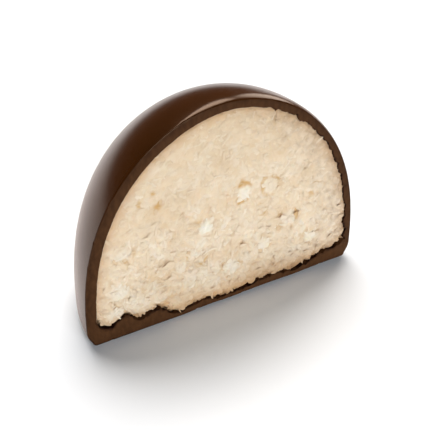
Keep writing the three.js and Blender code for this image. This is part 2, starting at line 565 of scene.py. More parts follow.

# %% [markdown]
# ## Cut chocolate
#
# Where the knife went through, the chocolate broke into fine grit and was dragged a little downwards.
# To the eye it is matt and paler than the outside, most of all near the coconut, whose fat and crumbs
# rubbed off on it. Near the floor, where the wall thickens, it is painted paler: painted light. Where it
# tore instead, its lip is painted dark: painted shade, as the lip lies in shadow. One noise, stretched
# upright, makes the drag marks, a second one the grit, and a third one breaks up the painted shade on
# the lip. The depth in the wall, kept on the mesh, tells how near the coconut is.

# %% Patterns in the cut chocolate
DRAG_LENGTH = 0.4 * MM  # across a drag mark
DRAG_STRETCH = 0.4  # how many times as often it changes upright
# the torn lip's painted shade is broken up at this length
LIP_SHADE_LENGTH = 1.5 * MM  # from one dark place on the torn lip to the next
GRIT_LENGTH = 0.3 * MM  # ten times the real grit, which wouldn't show
MARK_DEPTH = 0.08 * MM
knife_cut_chocolate, tree, spot = new_material("knife_cut_chocolate")
depth, torn = [
    add(tree, "ShaderNodeAttribute", attribute_name=name).outputs["Fac"] for name in ("depth", "torn")
]
up = add(tree, "ShaderNodeSeparateXYZ", {"Vector": spot}).outputs["Z"]
upright = add(tree, "ShaderNodeMapping", {"Vector": spot, "Scale": (1.0, 1.0, DRAG_STRETCH)})
noise = {}
for label, vector, length, detail in (  # each pattern has a real length
    ("drag", upright, DRAG_LENGTH, 4.0),
    ("grit", spot, GRIT_LENGTH, 4.0),
    ("lip", spot, LIP_SHADE_LENGTH, 2.0),
):
    noise[label] = add(
        tree, "ShaderNodeTexNoise", {"Vector": vector, "Scale": 1 / length, "Detail": detail}
    )
print(len(noise), "patterns in the cut chocolate")

# %% Cut chocolate
share = {}
for label, source, start, end, low, high in (  # from start to end the share goes from low to high
    ("near_coconut", depth, 0.25, 0.9, 0.0, 0.3),
    ("streaks", noise["drag"], 0.35, 0.65, 0.1, 0.5),
    # painted light: the cut chocolate is painted paler towards the floor
    ("foot", up, 0.8 * MM, 3.5 * MM, 0.4, 0.0),
    ("lip", depth, 0.8, 1.0, 0.0, 1.0),
    ("broken", noise["lip"], 0.42, 0.58, 0.15, 1.0),
    ("matt", noise["grit"], 0.0, 1.0, 0.45, 0.7),
):
    limits = {"From Min": start, "From Max": end, "To Min": low, "To Max": high}
    share[label] = add(tree, "ShaderNodeMapRange", {"Value": source, **limits})
paler = share["near_coconut"]
for part in (share["streaks"], share["foot"]):
    paler = add(tree, MATH, {0: paler, 1: part}, operation="ADD")
# painted shade: the torn lip lies in shadow, so it is painted dark
bare_and_lip_shade = share["lip"]
for part in (torn, share["broken"]):
    bare_and_lip_shade = add(tree, MATH, {0: bare_and_lip_shade, 1: part}, operation="MULTIPLY")
brown = linear("#372112")
# 583a23 is the paler chocolate, partly painted light near the floor; #230f07 is painted shade on the lip
for factor, stain in ((paler, "#583a23"), (bare_and_lip_shade, "#230f07")):
    stained = {"Factor": factor, "A": brown, "B": linear(stain)}
    brown = add(tree, "ShaderNodeMix", stained, **COLOUR_MIX)
marks = add(tree, MATH, {0: noise["drag"], 1: noise["grit"]}, operation="ADD")
broken = add(tree, "ShaderNodeBump", {"Height": marks, "Strength": 0.35, "Distance": MARK_DEPTH})
shader = add(
    tree,
    "ShaderNodeBsdfPrincipled",
    {
        "Base Color": brown,
        "Roughness": share["matt"],
        "IOR": 1.2,  # grit traps light, so it shines less than smooth chocolate
        "Specular IOR Level": 0.2,
        "Normal": broken,
    },
)
add(tree, "ShaderNodeOutputMaterial", {"Surface": shader})
print(knife_cut_chocolate.name, len(tree.nodes), "nodes")

# %% [markdown]
# ## Where the chocolate tore
#
# Chocolate this thin snaps more than it cuts. On the left and over the top the break is clean, but on
# the right and along the floor it tore with the coconut. The teeth of the tear could be modelled one
# by one, but no two are alike. A noise in space moves the inner edge in and out instead, and a second
# one takes a few chips off the outer edge.

# %% The sizes of the tear
TORN = {
    "Tear": 0.95 * MM,  # how far the teeth reach
    "Tear Length": 1.1 * MM,  # from one tooth to the next
    "Clean Until": 3 * MM,  # across from the middle: the break is clean to the left of this
    "Ragged From": 7 * MM,  # and ragged to the right of this
    "Floor Top": FLOOR + FLOOR_CLIMB + FLOOR_BUMPS,  # the floor is ragged below this
    "Floor Fade": 1.5 * MM,
    "Least": 0.12,  # how much of the tear a clean break still has
    "Thinnest": 0.32 * MM,  # the floor is nowhere thinner
    "Cut At": CUT_Y,
    "Fade Behind": 3 * MM,  # how far behind the cut the tear dies away
    "Chip": 0.12 * MM,
    "Chip Length": 1.4 * MM,
    "Chip Behind": 0.6 * MM,
    "Moulded Finish": moulded_chocolate,
    "Cut Finish": knife_cut_chocolate,
}
NOISE_MIDDLE = (0.5, 0.5, 0.5)
BOTH_WAYS = (2.0, 0.0, 2.0)  # in and out in the plane of the cut, and not through it
FADING = {"To Min": 1.0, "To Max": 0.0}
tear, given, result = geometry_tree("torn_chocolate", TORN)
print("the tear has", len(TORN), "inputs")

# %% Where it tears, and how much
place = add(tear, "GeometryNodeInputPosition")
at = add(tear, "ShaderNodeSeparateXYZ", {"Vector": place}).outputs
depth = add(tear, "GeometryNodeInputNamedAttribute", {"Name": "depth"}, data_type="FLOAT")
behind = add(tear, MATH, {0: at["Y"], 1: given["Cut At"]}, operation="SUBTRACT")
at_cut = add(tear, "ShaderNodeMapRange", {"Value": behind, "From Max": given["Fade Behind"], **FADING})
ragged = add(
    tear,
    "ShaderNodeMapRange",
    {"Value": at["X"], "From Min": given["Clean Until"], "From Max": given["Ragged From"]},
)
above = add(tear, MATH, {0: given["Floor Top"], 1: given["Floor Fade"]}, operation="ADD")
low = add(
    tear,
    "ShaderNodeMapRange",
    {"Value": at["Z"], "From Min": given["Floor Top"], "From Max": above, **FADING},
)
for at_least in (low, given["Least"]):
    ragged = add(tear, MATH, {0: ragged, 1: at_least}, operation="MAXIMUM")
deep = add(tear, MATH, {0: depth, 1: 2.0}, operation="POWER")
amount = given["Tear"]
for part in (ragged, deep, at_cut):
    amount = add(tear, MATH, {0: amount, 1: part}, operation="MULTIPLY")
print("weights of the tear:", len(tear.nodes), "nodes so far")

# %% The teeth of the tear
in_cut = add(tear, "ShaderNodeCombineXYZ", {"X": at["X"], "Z": at["Z"]})
scale = add(tear, MATH, {0: 1.0, 1: given["Tear Length"]}, operation="DIVIDE")
jagged = {"Detail": 5.0, "Roughness": 0.7}
teeth = add(tear, "ShaderNodeTexNoise", {"Vector": in_cut, "Scale": scale, **jagged})
teeth = add(tear, VECTOR_MATH, {0: teeth.outputs["Color"], 1: NOISE_MIDDLE}, operation="SUBTRACT")
teeth = add(tear, VECTOR_MATH, {0: teeth, 1: BOTH_WAYS}, operation="MULTIPLY")
teeth = add(tear, VECTOR_MATH, {0: teeth, "Scale": amount}, operation="SCALE")
parts = add(tear, "ShaderNodeSeparateXYZ", {"Vector": teeth}).outputs
lowest = add(tear, MATH, {0: depth, 1: given["Thinnest"]}, operation="MULTIPLY")
lowest = add(tear, MATH, {0: lowest, 1: at["Z"]}, operation="SUBTRACT")
lowest = add(tear, MATH, {0: parts["Z"], 1: lowest}, operation="MAXIMUM")
print("teeth of the tear:", len(tear.nodes), "nodes so far")

# %% Chips off the outer edge, and both finishes
CHIPPED = {"From Min": 0.6, "From Max": 0.72}  # only where the noise is high
CHIPPED_UNTIL = 0.45  # of the wall's thickness
scale = add(tear, MATH, {0: 1.0, 1: given["Chip Length"]}, operation="DIVIDE")
chips = add(tear, "ShaderNodeTexNoise", {"Vector": in_cut, "Scale": scale, "Detail": 2.0})
chips = add(tear, "ShaderNodeMapRange", {"Value": chips, **CHIPPED})
outer = add(tear, "ShaderNodeMapRange", {"Value": depth, "From Max": CHIPPED_UNTIL, **FADING})
near = add(tear, "ShaderNodeMapRange", {"Value": behind, "From Max": given["Chip Behind"], **FADING})
for part in (outer, near, given["Chip"]):
    chips = add(tear, MATH, {0: chips, 1: part}, operation="MULTIPLY")
shift = add(tear, "ShaderNodeCombineXYZ", {"X": parts["X"], "Y": chips, "Z": lowest})
made = add(tear, "GeometryNodeSetPosition", {"Geometry": given["Geometry"], "Offset": shift})
made = add(
    tear,
    "GeometryNodeStoreNamedAttribute",
    {"Geometry": made, "Name": "torn", "Value": ragged},
    data_type="FLOAT",
    domain="POINT",
)
made = add(tear, "GeometryNodeRealizeInstances", {"Geometry": made})
made = add(tear, "GeometryNodeSetMaterial", {"Geometry": made, "Material": given["Moulded Finish"]})
bare_and_lip_shade = add(tear, "GeometryNodeInputNamedAttribute", {"Name": "knife_cut"}, data_type="FLOAT")
made = add(
    tear,
    "GeometryNodeSetMaterial",
    {"Geometry": made, "Selection": bare_and_lip_shade, "Material": given["Cut Finish"]},
)
tear.links.new(made.outputs["Geometry"], result["Geometry"])
shell_mesh = made_by(tear, TORN, shell_mesh)
print("finishes on the chocolate:", [material.name for material in shell_mesh.materials])

# %% [markdown]
# ## The coconut
#
# The filling is one block of packed coconut that nobody sees but at the cut. The lathe turns it along
# a D: round the back in few steps, and across the cut in many, because crumbs are to rise there. It
# could stop at the chocolate, but then a black gap would show wherever the chocolate tore back. So it
# reaches a little way into the chocolate, and lies just under the cut there.

# %% Turn the coconut
REACH = 0.5 * MM  # into the chocolate
CORE_STEPS = (14, 10, 200)
BACK_STEPS = 48
FACE_STEPS = 250
core_line = outline(WALL - REACH, FLOOR - REACH, FLOOR_CORNER, CORE_STEPS)
across_cut = [(2 * i / FACE_STEPS - 1, 0, 0) for i in range(1, FACE_STEPS + 1)]
core_grid = turned_grid("core", core_line, half_turn(BACK_STEPS, 0) + across_cut)
floor_rows = CORE_STEPS[0]
rim = core_grid[floor_rows]
to_rim = (np.arange(floor_rows) / floor_rows)[:, None, None]
core_grid[:floor_rows] = rim.mean(axis=0) * (1 - to_rim) + rim * to_rim  # a floor that fills the D
core_mesh = joined_mesh("coconut", [(core_grid, False, MOULDED, 1)])

# %% [markdown]
# ## How far from the edge
#
# Much of what happens to the cut coconut depends on how near the chocolate is: it was torn away there,
# dusted with chocolate, and left a crack. A node can find the nearest point of a line, but the edge is
# known exactly here, so the distance is worked out once and kept on the mesh. The points are taken in
# some forty lots, which keeps the table of distances small. Only then does the coconut get its print,
# because the print moves the edge.

# %% Measure how far each point of the cut is from the coconut's edge
LOTS = 40
TO_LEFT = np.array([-1, 1, 1])
core_places = places_of(core_mesh)
edge_line = np.array(core_line)
edge_line = np.concatenate([edge_line, edge_line * TO_LEFT])
inset = np.zeros(len(core_places))
in_face = np.flatnonzero(np.abs(core_places[:, 1]) < SEAM)
for part in np.array_split(in_face, LOTS):
    gaps = core_places[part][:, None, ::2] - edge_line[None, :, ::2]
    inset[part] = np.sqrt((gaps**2).sum(axis=2)).min(axis=1)
marked(core_mesh, "inset", inset)
print("farthest from the edge in mm:", round(inset.max() / MM, 2))

# %% Give the coconut the same print
SQUEEZED_BELOW = 0.4 * MM  # the coconut's hidden floor is squeezed up, to stay inside the chocolate
LOWEST = 0.12 * MM
core_places = printed(core_places, 1)
height = core_places[:, 2]
low = height < SQUEEZED_BELOW
core_places[low, 2] = np.interp(height[low], (-REACH, SQUEEZED_BELOW), (LOWEST, SQUEEZED_BELOW))
place_at(core_mesh, core_places)
print("lowest coconut in mm:", round(core_places[:, 2].min() / MM, 2))

# %% [markdown]
# ## Clumps
#
# Packed coconut isn't even: here and there some flakes stick together in a whiter clump, with a crack
# round it where the knife pulled. The crack is painted golden, as painted shade. A texture of cells
# could place such clumps, but it spreads them evenly and makes too many. They are few and all
# different, so each is one row of a table, and becomes one point that a tree can look for.

# %% The clumps that show at the cut
# The last column sets how deep the crack round each clump is, and how strong its golden painted shade.
CLUMPS = [  # across, up and half-width in millimetres, how white it is, and how golden round its edge
    (2.0, 13.8, 1.0, 1.0, 1.0),
    (-2.4, 11.0, 1.0, 1.0, 0.5),
    (-3.4, 7.2, 1.2, 0.1, 1.0),
    (-5.2, 6.6, 0.7, 0.5, 0.2),
    (-2.9, 8.9, 0.8, 0.4, 0.2),
    (5.2, 13.6, 0.9, 0.3, 0.9),
    (4.1, 10.9, 0.6, 0.3, 0.8),
    (-8.4, 16.0, 0.9, 0.3, 0.9),
    (-11.4, 10.6, 0.9, 0.4, 0.6),
    (-12.3, 6.1, 1.2, 0.5, 0.2),
    (-8.6, 5.6, 0.9, 0.4, 0.5),
    (-7.0, 11.6, 0.8, 0.4, 0.2),
    (-12.9, 3.4, 0.9, 0.4, 0.3),
    (0.6, 4.4, 1.0, 0.6, 0.6),
    (7.4, 8.4, 1.1, 0.8, 0.8),
    (11.0, 11.2, 0.8, 0.4, 0.6),
    (10.4, 5.0, 0.9, 0.7, 0.5),
    (4.6, 6.2, 0.8, 0.4, 0.4),
]
across, up, half_widths, whiteness, goldenness = np.array(CLUMPS).T
clump_mesh = bpy.data.meshes.new("clumps")
clump_mesh.from_pydata([(x * MM, 0, z * MM) for x, z in zip(across, up)], [], [])
CLUMP_MARKS = {"half_width": half_widths * MM, "whiteness": whiteness, "goldenness": goldenness}
for label, values in CLUMP_MARKS.items():
    marked(clump_mesh, label, values)
clumps = bpy.data.objects.new("clumps", clump_mesh)
print(len(CLUMPS), "clumps")

# %% [markdown]
# ## Coconut at the cut
#
# Desiccated coconut is the grated white flesh of the nut, moistened and pressed. Each grain has its
# own tint between cream and white. Hollows are painted tan, as painted shade, since light reaches them
# only through coconut. The knife dusted chocolate over the right side. The top is painted a little
# greyer, as painted shade. A tan border beside the chocolate wall is painted shade too. Fat from the
# chocolate left a tan band along the bottom, and the crack above the floor is painted dark brown, as
# painted shade.
# Images could carry all that, but marks kept on the mesh do it in true places: the grain's number, its
# height, the clumps and the distance to the edge each mix in one colour. To the eye it is matt and
# soft-edged.

# %% What stains the coconut, and where
PATCH_LENGTH = 4.2 * MM  # moister and drier patches
DUST_LENGTH = 0.7 * MM  # chocolate crumbs are finer, and would be too fine to show
FIBRE_LENGTH = 0.2 * MM
MARKS = ("grain", "height", "white", "golden", "crack", "inset")
PATTERNS = (  # name, length and detail
    ("patches", PATCH_LENGTH, 2.0),
    ("dust", DUST_LENGTH, 3.0),
    ("fibre", FIBRE_LENGTH, 4.0),
)
SHARES = (  # name, what measures it, its start and end there, and the share before and after them
    ("whiter", "grain", 0.35, 0.9, 0.0, 1.0),
    # painted shade: hollows in the relief are painted tan
    ("hollow", "height", -0.35 * MM, -0.1 * MM, 0.3, 0.0),
    ("patches", "patches", 0.42, 0.68, 0.0, 0.32),
    ("near_wall", "inset", 0.7 * MM, 5 * MM, 0.6, 0.0),
    # painted shade: a tan border beside the chocolate wall
    ("edge", "inset", 0.5 * MM, 1.8 * MM, 0.75, 0.0),
    # painted shade: the crack above the floor is painted dark brown
    ("crack", "crack", 0.15, 1.0, 0.0, 0.75),
    ("low", "up", 1.2 * MM, 3.6 * MM, 0.75, 0.0),
    ("on_right", "across", 0.0, 8 * MM, 0.0, 1.0),
    ("dust", "dust", 0.4, 0.65, 0.35, 1.0),
    # painted shade: the top of the cut is painted a little greyer
    ("smeared_and_top_shade", "up", 6 * MM, 22 * MM, 0.0, 1.0),
    ("moist", "fibre", 0.0, 1.0, 0.55, 0.8),
)
print(len(SHARES), "shares, from", len(MARKS), "marks and", len(PATTERNS), "patterns")

# %% Pressed and flaked coconut
FIBRE_HEIGHT = 0.06 * MM
LIGHT_REACH = 0.6 * MM  # how far light travels in it


def coconut_material(name, cream, white, tan, clump_white, see_in):
    """Moist coconut in colours from cream to tan. See_in says how much of the light goes into it."""
    material, tree, spot = new_material(name)
    at = add(tree, "ShaderNodeSeparateXYZ", {"Vector": spot}).outputs
    measure = {"across": at["X"], "up": at["Z"]}
    for mark in MARKS:
        measure[mark] = add(tree, "ShaderNodeAttribute", attribute_name=mark).outputs["Fac"]
    for label, length, detail in PATTERNS:
        pattern = {"Vector": spot, "Scale": 1 / length, "Detail": detail}
        measure[label] = add(tree, "ShaderNodeTexNoise", pattern)
    share = {}
    for label, by, start, end, low, high in SHARES:
        limits = {"From Min": start, "From Max": end, "To Min": low, "To Max": high}
        share[label] = add(tree, "ShaderNodeMapRange", {"Value": measure[by], **limits})
    patches_and_hollow_shade = add(tree, MATH, {0: share["hollow"], 1: share["patches"]}, operation="ADD")
    dusty = share["near_wall"]
    for part in (share["on_right"], share["dust"]):
        dusty = add(tree, MATH, {0: dusty, 1: part}, operation="MULTIPLY")
    colour = linear(cream)
    for factor, stain, blend in (
        (share["whiter"], white, "MIX"),
        (measure["white"], clump_white, "MIX"),
        # tan: moist patches, and painted shade in the hollows
        (patches_and_hollow_shade, tan, "MIX"),
        # painted shade: the crack round each clump is painted golden
        (measure["golden"], "#d8ad6e", "MIX"),
        (dusty, "#b59c84", "MIX"),
        # painted shade: the top is painted greyer
        (share["smeared_and_top_shade"], "#f1ede6", "MULTIPLY"),
        # painted shade: a tan border beside the wall
        (share["edge"], "#dcc6b0", "MULTIPLY"),
        (share["low"], "#efd6b4", "MULTIPLY"),
        # painted shade in the crack above the floor
        (share["crack"], "#4a2614", "MIX"),
    ):
        stained = {"Factor": factor, "A": colour, "B": linear(stain)}
        colour = add(tree, "ShaderNodeMix", stained, blend_type=blend, **COLOUR_MIX)
    fibres = {"Height": measure["fibre"], "Strength": 0.5, "Distance": FIBRE_HEIGHT}
    shader = add(
        tree,
        "ShaderNodeBsdfPrincipled",
        {
            "Base Color": colour,
            "Roughness": share["moist"],
            "IOR": 1.35,  # moist food is mostly water
            "Normal": add(tree, "ShaderNodeBump", fibres),
            "Subsurface Weight": see_in,
            "Subsurface Radius": (1.0, 0.8, 0.55),
            "Subsurface Scale": LIGHT_REACH,
        },
    )
    add(tree, "ShaderNodeOutputMaterial", {"Surface": shader})
    print(name, len(tree.nodes), "nodes")
    return material


pressed_coconut = coconut_material("pressed_coconut", "#f2ddc0", "#f8e8d1", "#dfbf95", "#fff5e3", 0.5)
flaked_coconut = coconut_material("flaked_coconut", "#f3e0c4", "#f9ead4", "#e2c299", "#fff7e7", 0.0)

# %% [markdown]
# ## The crumbly cut
#
# Grated coconut is a mass of small grains that lie every way. The knife presses and tears them, so the
# cut is a field of little domed plates, each tilted its own way, with small steps between them. It
# could be sculpted, or be only a bump in the material, but a bump casts no shadow. So a tree raises
# real grains. A Voronoi texture gives each grain its own cell: the height at a point falls with its
# distance from the middle of its grain, and follows that grain's slope.

# %% The sizes of the crumbs
CRUMBLED = {
    "Bend": 1.1 * MM,  # how far the grains' borders wander
    "Bend Length": 0.9 * MM,
    "Grain Size": 0.95 * MM,
    "Grain Tilt": 0.45,
    "Grain Step": 0.14 * MM,
    "Grain Dome": 0.22 * MM,
    "Lump Size": 2.6 * MM,
    "Lump Height": 0.5 * MM,
    "Pit Size": 2.2 * MM,
    "Pit Depth": 0.2 * MM,
    "Clumps": clumps,
    "Clump Rise": 0.14 * MM,
    "Clump Gap": 0.12 * MM,
    "Gap Break": 1.3 * MM,  # from one break in the crack round a clump to the next
    "Torn Below": 7 * MM,  # the knife went in at the top, and tore more and more on its way down
    "Calm Above": 18 * MM,
    "Calm Share": 0.3,
    "Reach": REACH,
    "Recess": 0.25 * MM,  # how far under the cut the coconut lies where chocolate covers it
    "Crack Depth": 0.7 * MM,  # of the crack between the coconut and the floor
    "Crack Up To": 3 * MM,
    "Crack Break": 1.6 * MM,
    "Finish": pressed_coconut,
}
LENGTHS = ("Bend Length", "Grain Size", "Lump Size", "Pit Size", "Gap Break", "Crack Break")
crumble, given, result = geometry_tree("crumbled_coconut", CRUMBLED)
place = add(crumble, "GeometryNodeInputPosition")
at = add(crumble, "ShaderNodeSeparateXYZ", {"Vector": place}).outputs
scales = {}
for label in LENGTHS:
    scales[label] = add(crumble, MATH, {0: 1.0, 1: given[label]}, operation="DIVIDE")
print("the crumbs have", len(CRUMBLED), "inputs")

# %% Two sizes of grain
bend = add(crumble, "ShaderNodeTexNoise", {"Vector": place, "Scale": scales["Bend Length"], "Detail": 2.0})
bend = add(crumble, VECTOR_MATH, {0: bend.outputs["Color"], 1: NOISE_MIDDLE}, operation="SUBTRACT")
bend = add(crumble, VECTOR_MATH, {0: bend, "Scale": given["Bend"]}, operation="SCALE")
bent = add(crumble, VECTOR_MATH, {0: place, 1: bend}, operation="ADD")
reliefs, tints = [], []
for share_of_size in (1.0, 0.5):
    scale = add(crumble, MATH, {0: scales["Grain Size"], 1: 1 / share_of_size}, operation="MULTIPLY")
    grains = add(crumble, "ShaderNodeTexVoronoi", {"Vector": bent, "Scale": scale}, feature="F1").outputs
    away = add(crumble, VECTOR_MATH, {0: bent, 1: grains["Position"]}, operation="SUBTRACT")
    slope = add(crumble, VECTOR_MATH, {0: grains["Color"], 1: NOISE_MIDDLE}, operation="SUBTRACT")
    slope = add(crumble, VECTOR_MATH, {0: slope, "Scale": given["Grain Tilt"]}, operation="SCALE")
    tilted = add(crumble, VECTOR_MATH, {0: away, 1: slope}, operation="DOT_PRODUCT")
    own = add(crumble, "ShaderNodeSeparateXYZ", {"Vector": grains["Color"]}).outputs
    tints.append(own["X"])
    step = add(crumble, MATH, {0: own["Y"], 1: 0.5}, operation="SUBTRACT")
    step = add(crumble, MATH, {0: step, 1: given["Grain Step"]}, operation="MULTIPLY")
    dome = add(crumble, MATH, {0: grains["Distance"], 1: 2.0}, operation="POWER")
    dome = add(crumble, MATH, {0: dome, 1: given["Grain Dome"]}, operation="MULTIPLY")
    step = add(crumble, MATH, {0: step, 1: dome}, operation="SUBTRACT")
    step = add(crumble, MATH, {0: step, 1: share_of_size}, operation="MULTIPLY")
    reliefs.append(("ADD", add(crumble, MATH, {0: tilted, 1: step}, operation="ADD")))
print("grains:", len(crumble.nodes), "nodes so far")

# %% Soft lumps and pits
PITTED = {"From Min": 0.62, "From Max": 0.72}  # only where the noise is highest
lumps = add(crumble, "ShaderNodeTexNoise", {"Vector": place, "Scale": scales["Lump Size"], "Detail": 1.0})
lumps = add(crumble, MATH, {0: lumps, 1: 0.5}, operation="SUBTRACT")
lumps = add(crumble, MATH, {0: lumps, 1: given["Lump Height"]}, operation="MULTIPLY")
pits = add(crumble, "ShaderNodeTexNoise", {"Vector": place, "Scale": scales["Pit Size"], "Detail": 1.0})
pits = add(crumble, "ShaderNodeMapRange", {"Value": pits, **PITTED})
pits = add(crumble, MATH, {0: pits, 1: given["Pit Depth"]}, operation="MULTIPLY")
reliefs += [("ADD", lumps), ("SUBTRACT", pits)]
print("lumps and pits:", len(crumble.nodes), "nodes so far")

# %% [markdown]
# ## Clumps and the cracks round them
#
# For each point of the cut the tree finds the nearest clump of the table. Inside its half-width the
# coconut is whiter and stands a little proud. Just outside it runs the crack, as a ring that a noise
# breaks up, since a whole ring would look drawn.

# %% Raise the clumps
CLUMP_EDGE = (0.55, 1.0)  # its white fades between these shares of its half-width
CRACK_AT = 1.15  # in half-widths from its middle
CRACK_WIDTH = (0.04, 0.42)  # whole as far as the first from there, and gone at the second
RING_BROKEN = {"From Min": 0.44, "From Max": 0.6}
flat = add(crumble, VECTOR_MATH, {0: bent, 1: (1.0, 0.0, 1.0)}, operation="MULTIPLY")
table = add(crumble, "GeometryNodeObjectInfo", {"Object": given["Clumps"]}).outputs["Geometry"]
nearest = add(crumble, "GeometryNodeSampleNearest", {"Geometry": table, "Sample Position": flat})
found = {"Geometry": table, "Index": nearest}
middle = add(crumble, "GeometryNodeSampleIndex", {"Value": place, **found}, data_type="FLOAT_VECTOR")
clump = {}
for label in CLUMP_MARKS:
    value = add(crumble, "GeometryNodeInputNamedAttribute", {"Name": label}, data_type="FLOAT")
    clump[label] = add(crumble, "GeometryNodeSampleIndex", {"Value": value, **found}, data_type="FLOAT")
off = add(crumble, VECTOR_MATH, {0: flat, 1: middle}, operation="DISTANCE")
off = add(crumble, MATH, {0: off, 1: clump["half_width"]}, operation="DIVIDE")
inner_edge, outer_edge = CLUMP_EDGE
white = add(
    crumble, "ShaderNodeMapRange", {"Value": off, "From Min": inner_edge, "From Max": outer_edge, **FADING}
)
white = add(crumble, MATH, {0: white, 1: clump["whiteness"]}, operation="MULTIPLY")
# The ring is lowered here, and kept for the material to paint golden shade in it.
ring = add(crumble, MATH, {0: off, 1: CRACK_AT}, operation="SUBTRACT")
ring = add(crumble, MATH, {0: ring}, operation="ABSOLUTE")
narrow, wide = CRACK_WIDTH
ring = add(crumble, "ShaderNodeMapRange", {"Value": ring, "From Min": narrow, "From Max": wide, **FADING})
breaks = add(crumble, "ShaderNodeTexNoise", {"Vector": place, "Scale": scales["Gap Break"], "Detail": 1.0})
breaks = add(crumble, "ShaderNodeMapRange", {"Value": breaks, **RING_BROKEN})
for part in (breaks, clump["goldenness"]):
    ring = add(crumble, MATH, {0: ring, 1: part}, operation="MULTIPLY")
rise = add(crumble, MATH, {0: white, 1: given["Clump Rise"]}, operation="MULTIPLY")
crack = add(crumble, MATH, {0: ring, 1: given["Clump Gap"]}, operation="MULTIPLY")
reliefs += [("ADD", rise), ("SUBTRACT", crack)]
print("clumps:", len(crumble.nodes), "nodes so far")

# %% Add up the relief, calmer towards the top
total = 0.0
for operation, part in reliefs:
    total = add(crumble, MATH, {0: total, 1: part}, operation=operation)
calmer = add(
    crumble,
    "ShaderNodeMapRange",
    {
        "Value": at["Z"],
        "From Min": given["Torn Below"],
        "From Max": given["Calm Above"],
        "To Min": 1.0,
        "To Max": given["Calm Share"],
    },
)
total = add(crumble, MATH, {0: total, 1: calmer}, operation="MULTIPLY")
softened = add(crumble, "GeometryNodeBlurAttribute", {"Value": total, "Iterations": 1}, data_type="FLOAT")
print("relief:", len(crumble.nodes), "nodes so far")

# %% [markdown]
# ## The coconut's own edge
#
# Beside the chocolate the coconut has to lie under the cut, so that the chocolate stays in front where
# it is whole, and shows coconut where it tore back. Above the chocolate floor the knife also opened a
# crack here and there, which the eye sees as a dark broken line. Both could be cut into the mesh, but
# they depend only on the distance from the edge, and the crack on the height too, so ranges make them.

# %% Lower the edge and open the crack
UNDER_EDGE = 0.5  # in reaches from the edge: where the coconut begins to rise
FULL_RELIEF = 1.6  # where the crumbs have their whole height
CRACK_END = 2.1
CRACK_FADE = 1.5  # how many times its height the crack reaches up before it has gone
CRACK_BROKEN = {"From Min": 0.4, "From Max": 0.6}
edge = add(crumble, "GeometryNodeInputNamedAttribute", {"Name": "inset"}, data_type="FLOAT")
stops = {}
for label, reaches in (("under", UNDER_EDGE), ("full", FULL_RELIEF), ("crack", CRACK_END)):
    stops[label] = add(crumble, MATH, {0: given["Reach"], 1: reaches}, operation="MULTIPLY")
open_cut = add(
    crumble, "ShaderNodeMapRange", {"Value": edge, "From Min": stops["under"], "From Max": stops["full"]}
)
relief = add(crumble, MATH, {0: softened, 1: open_cut}, operation="MULTIPLY")
under = add(crumble, MATH, {0: 1.0, 1: open_cut}, operation="SUBTRACT")
under = add(crumble, MATH, {0: under, 1: given["Recess"]}, operation="MULTIPLY")
crack = add(
    crumble,
    "ShaderNodeMapRange",
    {"Value": edge, "From Min": given["Reach"], "From Max": stops["crack"], **FADING},
)
crack_top = add(crumble, MATH, {0: given["Crack Up To"], 1: CRACK_FADE}, operation="MULTIPLY")
low = add(
    crumble,
    "ShaderNodeMapRange",
    {"Value": at["Z"], "From Min": given["Crack Up To"], "From Max": crack_top, **FADING},
)
breaks = add(crumble, "ShaderNodeTexNoise", {"Vector": place, "Scale": scales["Crack Break"], "Detail": 2.0})
breaks = add(crumble, "ShaderNodeMapRange", {"Value": breaks, **CRACK_BROKEN})
for part in (low, breaks):
    crack = add(crumble, MATH, {0: crack, 1: part}, operation="MULTIPLY")
deep = add(crumble, MATH, {0: crack, 1: given["Crack Depth"]}, operation="MULTIPLY")
under = add(crumble, MATH, {0: under, 1: deep}, operation="ADD")
in_face = add(crumble, MATH, {0: edge, 1: 0.0}, operation="GREATER_THAN")
under = add(crumble, MATH, {0: under, 1: in_face}, operation="MULTIPLY")
inwards = add(crumble, MATH, {0: under, 1: relief}, operation="SUBTRACT")
print("edge:", len(crumble.nodes), "nodes so far")

# %% Keep what the material needs, and crumble the coconut
LARGER_SHARE = 0.6  # how much of the tint comes from the larger grains
shift = add(crumble, "ShaderNodeCombineXYZ", {"Y": inwards})
made = add(crumble, "GeometryNodeSetPosition", {"Geometry": given["Geometry"], "Offset": shift})
tint = add(crumble, MATH, {0: tints[0], 1: LARGER_SHARE}, operation="MULTIPLY")
tint = add(crumble, MATH, {0: tints[1], 1: 1 - LARGER_SHARE, 2: tint}, operation="MULTIPLY_ADD")
# the ring round each clump and the crack are kept for the material, which paints shade in them
KEPT = {"grain": tint, "height": relief, "white": white, "golden": ring, "crack": crack}
for label, value in KEPT.items():
    made = add(
        crumble,
        "GeometryNodeStoreNamedAttribute",
        {"Geometry": made, "Name": label, "Value": value},
        data_type="FLOAT",
        domain="POINT",
    )
made = add(crumble, "GeometryNodeRealizeInstances", {"Geometry": made})
made = add(crumble, "GeometryNodeSetMaterial", {"Geometry": made, "Material": given["Finish"]})
crumble.links.new(made.outputs["Geometry"], result["Geometry"])
core_mesh = made_by(crumble, CRUMBLED, core_mesh)
print("highest crumb in mm:", round(read(core_mesh, "height").max() / MM, 2))

# %% [markdown]
# ## Shapes of flakes
#
# What the eye reads as grated coconut is its flakes: thin, lens-shaped across, ragged along their edges
# and torn to a point at both ends. Thousands of different ones aren't needed. A few shapes of each
# kind are enough, because the scatter turns, tilts and scales each one differently. Each is a loft
# through five diamonds whose two sides differ in width, so it costs only a few faces.

